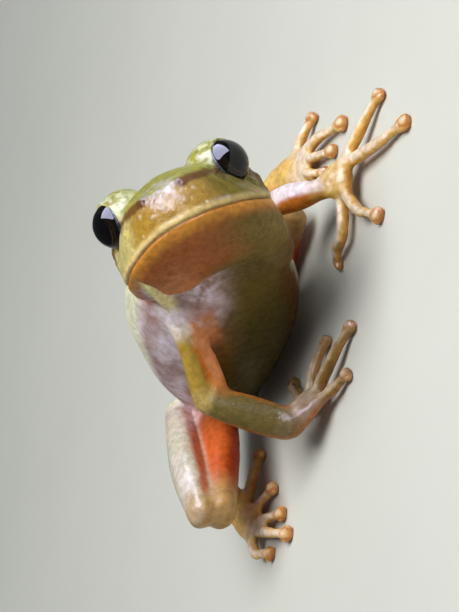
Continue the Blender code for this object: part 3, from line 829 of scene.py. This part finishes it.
# The right upper arm from its outer edge inwards: green, a wedge of orange, then the pink web.
# Its upper end carries a painted highlight, and the web above it a mottled painted wet highlight.
ARM_EDGE = [(-3.6, -0.9, 9.8), (-5.2, -0.1, 8.65), (-7.0, 0.9, 7.45)]
WEB_EDGE = [(-3.4, -1.6, 8.6), (-4.4, -0.4, 7.6), (-5.4, 0.3, 6.8), (-6.8, 0.55, 5.7)]
from_edge, from_web = chain_distance(points, ARM_EDGE), chain_distance(points, WEB_EDGE)
inwards = from_edge / (from_edge + from_web) + 0.03 * small
down_arm = np.clip(-(points + np.array((3.6, 0.9, -9.8))) @ unit((3.4, -1.8, 2.35)) / 4.5, 0, 1)
arm_coat = painted(
    ARM_GREEN, (ARM_PAINTED_HIGHLIGHT, 0.9 * ease(0.34, 0.12, down_arm)),
    (RIM_ORANGE, ease(0.36, 0.42, inwards) * ease(0.15, 0.40, down_arm)),
    (FOLD_PINK, ease(0.50 + 0.16 * down_arm, 0.60 + 0.16 * down_arm, inwards)),
    (PAINTED_WET_HIGHLIGHT, 0.6 * ease(0.45, 0.60, inwards) * ease(0.45, 0.10, down_arm)
     * ease(-0.4, 0.4, small + broad)))
upon_arm = ease(1.15, 0.85, np.minimum(from_edge, from_web * 1.1)) * ease(0.97, 0.86, down_arm)
upon_arm *= ease(0.0, 0.5, gap) * ease(0.0, 0.12, down_arm)
coat = painted(coat, (arm_coat, upon_arm))


def keep_values(piece, name, values):
    """Keep a number or a colour for every point of a piece under a name."""
    if values.ndim == 1:
        layer = piece.data.attributes.new(name, "FLOAT", "POINT")
        layer.data.foreach_set("value", values.astype(np.float32))
    else:
        layer = piece.data.attributes.new(name, "FLOAT_COLOR", "POINT")
        values = np.hstack([np.clip(values, 0, 1), np.ones((len(values), 1))])
        layer.data.foreach_set("color", values.astype(np.float32).ravel())


throat_grains = ease(-0.4, -0.9, over_lips(spot)) * closeness(gap, 0.45) * (1 - 0.6 * tucked)
crown_specks = closeness(gap, 0.5) * ease(0.3, 0.8, over_lips(spot))
crown_specks *= 1 - 0.85 * hill(away(spot, NOSE_MIDDLE, (0.6, 0.8, 0.8)), 1.5)
crown_specks = np.maximum(crown_specks, 0.8 * hill(near_lid, 1.3) * ease(-1.5, -0.5, spot[:, 2]))
forearm = next(part for part in parts if part["name"] == "forearm_right")
granular = closeness(part_field(points, forearm)[0])
crown_specks = np.maximum(crown_specks, granular)
throat_grains = np.maximum(throat_grains, 0.8 * granular)
keep_values(skin, "coat", coat)
keep_values(skin, "grains", throat_grains)
keep_values(skin, "specks", crown_specks)
keep_values(skin, "wetness", wetness * np.clip(0.8 + 0.7 * fine + 0.5 * small, 0, 2))

# The skin's surface: thin, moist and a little see-through, with fine grains and dark specks.
# The coat is the film of slime, which follows the grains; it is thickest where the skin is wet.
GRAIN_GOLD, SPECK_DARK = (0.55, 0.40, 0.13, 1), (0.07, 0.075, 0.02, 1)


def new_material(name):
    """A material, with its nodes, its links and its shader."""
    made = bpy.data.materials.new(name)
    made.use_nodes = True
    tree = made.node_tree
    return made, tree.nodes, tree.links, tree.nodes["Principled BSDF"]


def feed(made, values):
    """Give a node's sockets values, or links from other nodes' sockets."""
    for socket, value in values.items():
        if isinstance(value, bpy.types.NodeSocket):
            links.new(value, made.inputs[socket])
        else:
            made.inputs[socket].default_value = value
    return made


def node(kind, **settings):
    """A new node; settings are its properties, or its sockets where the name has a capital."""
    made = nodes.new(kind)
    for key, value in settings.items():
        if key[0].islower():
            setattr(made, key, value)
    return feed(made, {key.replace("_", " "): value for key, value in settings.items()
                       if key[0].isupper()})


def mix_colour(share, first, second, blend="MIX"):
    """Blend two colours by a share; each may be a socket or a value."""
    made = node("ShaderNodeMix", data_type="RGBA", blend_type=blend)
    return feed(made, {0: share, 6: first, 7: second}).outputs[2]


def times(first, second):
    """The product of two numbers; each may be a socket or a value."""
    made = node("ShaderNodeMath", operation="MULTIPLY")
    return feed(made, {0: first, 1: second}).outputs[0]


def plus(first, second, clamp=False):
    """The sum of two numbers, no more than 1 if clamped; each may be a socket or a value."""
    made = node("ShaderNodeMath", operation="ADD", use_clamp=clamp)
    return feed(made, {0: first, 1: second}).outputs[0]


def fade(value, low, high):
    """0 at low, 1 at high, and eased between."""
    return node("ShaderNodeMapRange", interpolation_type="SMOOTHSTEP", From_Min=low,
                From_Max=high, Value=value).outputs["Result"]


def noise(scale, detail=2.0):
    """Noise fixed to the piece; scale is in patches to the metre."""
    return node("ShaderNodeTexNoise", Scale=scale, Detail=detail, Roughness=0.5,
                Vector=node("ShaderNodeTexCoord").outputs["Object"]).outputs["Fac"]


def grains(scale):
    """Distance to the nearest of scattered grains; scale is in grains to the metre."""
    return node("ShaderNodeTexVoronoi", Scale=scale,
                Vector=node("ShaderNodeTexCoord").outputs["Object"]).outputs["Distance"]


def kept(name, socket="Fac"):
    """Values kept on the piece's points."""
    return node("ShaderNodeAttribute", attribute_name=name).outputs[socket]


def rough_up(height, strength, distance):
    """Small relief in metres under both the shader and its coat."""
    bump = node("ShaderNodeBump", Height=height, Strength=strength, Distance=distance)
    feed(shader, {"Normal": bump.outputs["Normal"], "Coat Normal": bump.outputs["Normal"]})


material, nodes, links, shader = new_material("moist_skin")
cloud = noise(2600, 3)
cell = grains(5400)
pore = grains(5600)
tone = mix_colour(fade(cloud, 0.38, 0.66), kept("coat", "Color"),
                  mix_colour(1.0, kept("coat", "Color"), (0.80, 0.78, 0.74, 1), "MULTIPLY"))
dots = times(fade(cell, 0.36, 0.14), times(kept("grains"), fade(noise(700), 0.32, 0.6)))
tone = mix_colour(times(dots, 0.24), tone, GRAIN_GOLD)
specks = times(fade(pore, 0.33, 0.14), times(kept("specks"), fade(noise(1300), 0.42, 0.56)))
feed(shader, {"Base Color": mix_colour(times(specks, 0.62), tone, SPECK_DARK),
              "Roughness": plus(times(cloud, 0.35), 0.22), "Specular IOR Level": 0.05,
              "Coat Weight": kept("wetness"), "Coat Roughness": 0.12, "Subsurface Weight": 0.22,
              "Subsurface Radius": (1.0, 0.45, 0.25), "Subsurface Scale": 0.0005})
rough_up(plus(times(fade(cell, 0.0, 0.55), -0.6), times(noise(5200, 3), 0.7)),
         plus(0.20, times(plus(kept("grains"), kept("specks"), True), 0.40)), 0.00005)
skin.data.materials.append(material)
skin.data.transform(Matrix.Scale(MM, 4))
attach(skin, "root")
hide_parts(*[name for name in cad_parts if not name.startswith("eye_")])

# Eyes: dark wet globes with a thin golden ring round a wide pupil.
# Each is a ball turned about the way it looks, so that its rings follow its middle.
PUPIL = 44.0        # degrees from the middle
GOLD = (0.075, 0.048, 0.020)
RING_TURN = radians(72)     # the ring shows most at the front and below


def eye_colours(angle, turn):
    """Black pupil, a thin golden ring, a dark brown iris, and grey-brown out to the lids."""
    uneven = 1 + 0.35 * np.sin(turn * 7 + 1) * np.sin(turn * 23)
    ring = hill(angle - PUPIL - 1.6, 1.1) + 0.5 * hill(angle - PUPIL - 8.5, 1.2)
    below = 0.01 + 0.99 * ease(0.45, 0.95, np.cos(turn - RING_TURN))
    return painted(
        (0.003, 0.003, 0.004), ((0.010, 0.006, 0.004), ease(PUPIL - 1, PUPIL + 1, angle)),
        (GOLD, np.clip(ring * uneven * below, 0, 1)),
        ((0.006, 0.005, 0.005), ease(PUPIL + 10, PUPIL + 15, angle)))


wet, nodes, links, shader = new_material("wet_eye")
dull = mix_colour(1.0, kept("coat", "Color"), (0.6, 0.6, 0.6, 1), "MULTIPLY")
feed(shader, {"Base Color": mix_colour(fade(noise(9000, 4), 0.3, 0.7), kept("coat", "Color"), dull),
              "Roughness": 0.35, "Coat Weight": 1.0, "Coat Roughness": 0.015, "Coat IOR": 1.38,
              "Specular IOR Level": 0.0})
CORNEA_RISE = 0.02      # share of the radius at the middle
CORNEA_REACH = 0.62     # radians

for side in ("left", "right"):
    axis = eye_axes[side]
    angle = np.radians(np.linspace(2, 178, 90))
    radius = EYE_RADIUS * (0.985 + CORNEA_RISE * hill(angle, CORNEA_REACH))
    rings = ball_rings(eye_centres[side], radius, axis, head_axes[2], angle, 120)
    globe, faces = closed_form(rings, eye_centres[side] + axis * radius[0],
                               eye_centres[side] - axis * radius[-1])
    ball = new_mesh("eyeball_" + side, globe * MM, [face[::-1] for face in faces])
    out = unit(globe - eye_centres[side])
    turn = np.arctan2(-out @ head_axes[2], out @ head_axes[0])
    colours = eye_colours(np.degrees(np.arccos(np.clip(out @ axis, -1, 1))), turn)
    keep_values(ball, "coat", colours)
    ball.data.materials.append(wet)
    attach(ball, "root")
    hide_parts("eye_" + side)

# Lid rims: the blue-grey wet edge of the lids, wide at the front and lower side of each eye.
# A flattened oval is carried round the opening along the eyeball.
RIM_OUTER = 73.5     # degrees
RIM_NARROW, RIM_WIDE = 1.8, 10.0
RIM_THICK = 0.065
RIM_STEPS, RIM_CORNERS = 160, 14

rim_skin, nodes, links, shader = new_material("wet_lid_rim")
tone = mix_colour(fade(noise(3000, 3), 0.35, 0.65), (0.010, 0.012, 0.015, 1),
                  (0.040, 0.050, 0.060, 1))
flecks = times(fade(grains(8200), 0.32, 0.12), 0.45)
feed(shader, {"Base Color": mix_colour(flecks, tone, (0.40, 0.44, 0.40, 1)), "Roughness": 0.3,
              "Coat Weight": 0.09, "Coat Roughness": 0.10})
rough_up(noise(9000, 3), 0.9, 0.00004)

for side in ("left", "right"):
    axis = eye_axes[side]
    ahead, up = (way - axis * (axis @ way) for way in (head_axes[0], head_axes[2]))
    front = unit(ahead - 0.95 * up)
    across = np.cross(axis, front)
    turn = np.linspace(0, 2 * pi, RIM_STEPS, endpoint=False)
    width = RIM_NARROW + (RIM_WIDE - RIM_NARROW) * ease(-0.1, 0.95, np.cos(turn))
    middle = np.radians(RIM_OUTER - width / 2)
    outward = np.outer(np.cos(turn), front) + np.outer(np.sin(turn), across)
    radial = np.cos(middle)[:, None] * axis + np.sin(middle)[:, None] * outward
    along = -np.sin(middle)[:, None] * axis + np.cos(middle)[:, None] * outward
    half = np.radians(width / 2) * EYE_RADIUS
    thick = np.full(RIM_STEPS, RIM_THICK)
    rings = section_rings(eye_centres[side] + radial * (EYE_RADIUS + 0.015), along, radial, half,
                          thick, thick, RIM_CORNERS)
    index = np.arange(RIM_STEPS * RIM_CORNERS).reshape(RIM_STEPS, RIM_CORNERS)
    faces = ring_quads(index, np.roll(index, -1, 0))
    rim = new_mesh("lid_rim_" + side, rings.reshape(-1, 3) * MM, faces.tolist())
    rim.data.materials.append(rim_skin)
    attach(rim, "root")

# Studio: a pale plain floor, one broad soft lamp high on the left of the view, and a weak one
# beside the camera. A square panel gives the eyes and the wet skin their glint; it is seen only
# as a reflection.
floor = new_mesh("floor", [(-3, -3, 0), (3, -3, 0), (3, 3, 0), (-3, 3, 0)], [(0, 1, 2, 3)])
pale_floor, nodes, links, shader = new_material("pale_floor")
feed(shader, {"Base Color": mix_colour(noise(60, 3), (0.60, 0.62, 0.58, 1), (0.66, 0.68, 0.64, 1)),
              "Roughness": 0.85, "Specular IOR Level": 0.1})
floor.data.materials.append(pale_floor)

camera_right = unit((0.0109, -0.3501, -0.9367))
camera_back = unit((-0.4465, -0.8397, 0.3090))
camera_up = unit(np.cross(camera_back, camera_right))
camera_right = np.cross(camera_up, camera_back)
VIEW_MIDDLE = np.array((-4.30, -5.28, 8.03))
VIEW_DISTANCE = 228.6
VIEW_HEIGHT = 34.97115      # what the view covers from top to bottom at that distance
SENSOR = 36


def stand(thing, place, right, up, back):
    """Put a camera or lamp at a place in millimetres, looking against back."""
    columns = np.column_stack([right, up, back, np.asarray(place) * MM])
    thing.matrix_world = Matrix(columns.tolist() + [[0, 0, 0, 1]])
    bpy.context.collection.objects.link(thing)


camera = bpy.data.objects.new("camera", bpy.data.cameras.new("camera"))
camera.data.sensor_width = SENSOR
camera.data.lens = SENSOR * VIEW_DISTANCE / VIEW_HEIGHT
camera.data.clip_start, camera.data.clip_end = 0.01, 20
stand(camera, VIEW_MIDDLE + camera_back * VIEW_DISTANCE, camera_right, camera_up, camera_back)
bpy.context.scene.camera = camera


def lamp(name, direction, distance, size, power, colour, unseen_by):
    """A flat soft lamp that faces the frog from a direction; rays of some kinds don't see it."""
    data = bpy.data.lights.new(name, "AREA")
    data.shape = "RECTANGLE"
    data.size, data.size_y = size[0] * MM, size[1] * MM
    data.energy, data.color = power, colour
    thing = bpy.data.objects.new(name, data)
    back = unit(direction)
    right = unit(np.cross(camera_up, back))
    stand(thing, VIEW_MIDDLE + back * distance, right, np.cross(back, right), back)
    for kind in unseen_by:
        setattr(thing, "visible_" + kind, False)


lamp("soft_key", -0.70 * camera_right + 0.42 * camera_up + 0.58 * camera_back, 170, (150, 130),
     0.42, (1.0, 0.98, 0.95), ["glossy"])
lamp("front_fill", camera_back * 0.8 + np.array((0, 0, 0.6)), 300, (200, 200), 0.05,
     (0.95, 0.97, 1.0), ["glossy"])
lamp("glint_panel", (0.591, -0.467, 0.651), 150, (195, 195), 2.3, (0.72, 0.74, 1.0),
     ["diffuse", "transmission"])
world = bpy.data.worlds.new("studio")
bpy.context.scene.world = world
world.use_nodes = True
feed(world.node_tree.nodes["Background"], {"Color": (0.80, 0.84, 0.86, 1), "Strength": 0.11})
bpy.context.scene.view_settings.view_transform = "Standard"
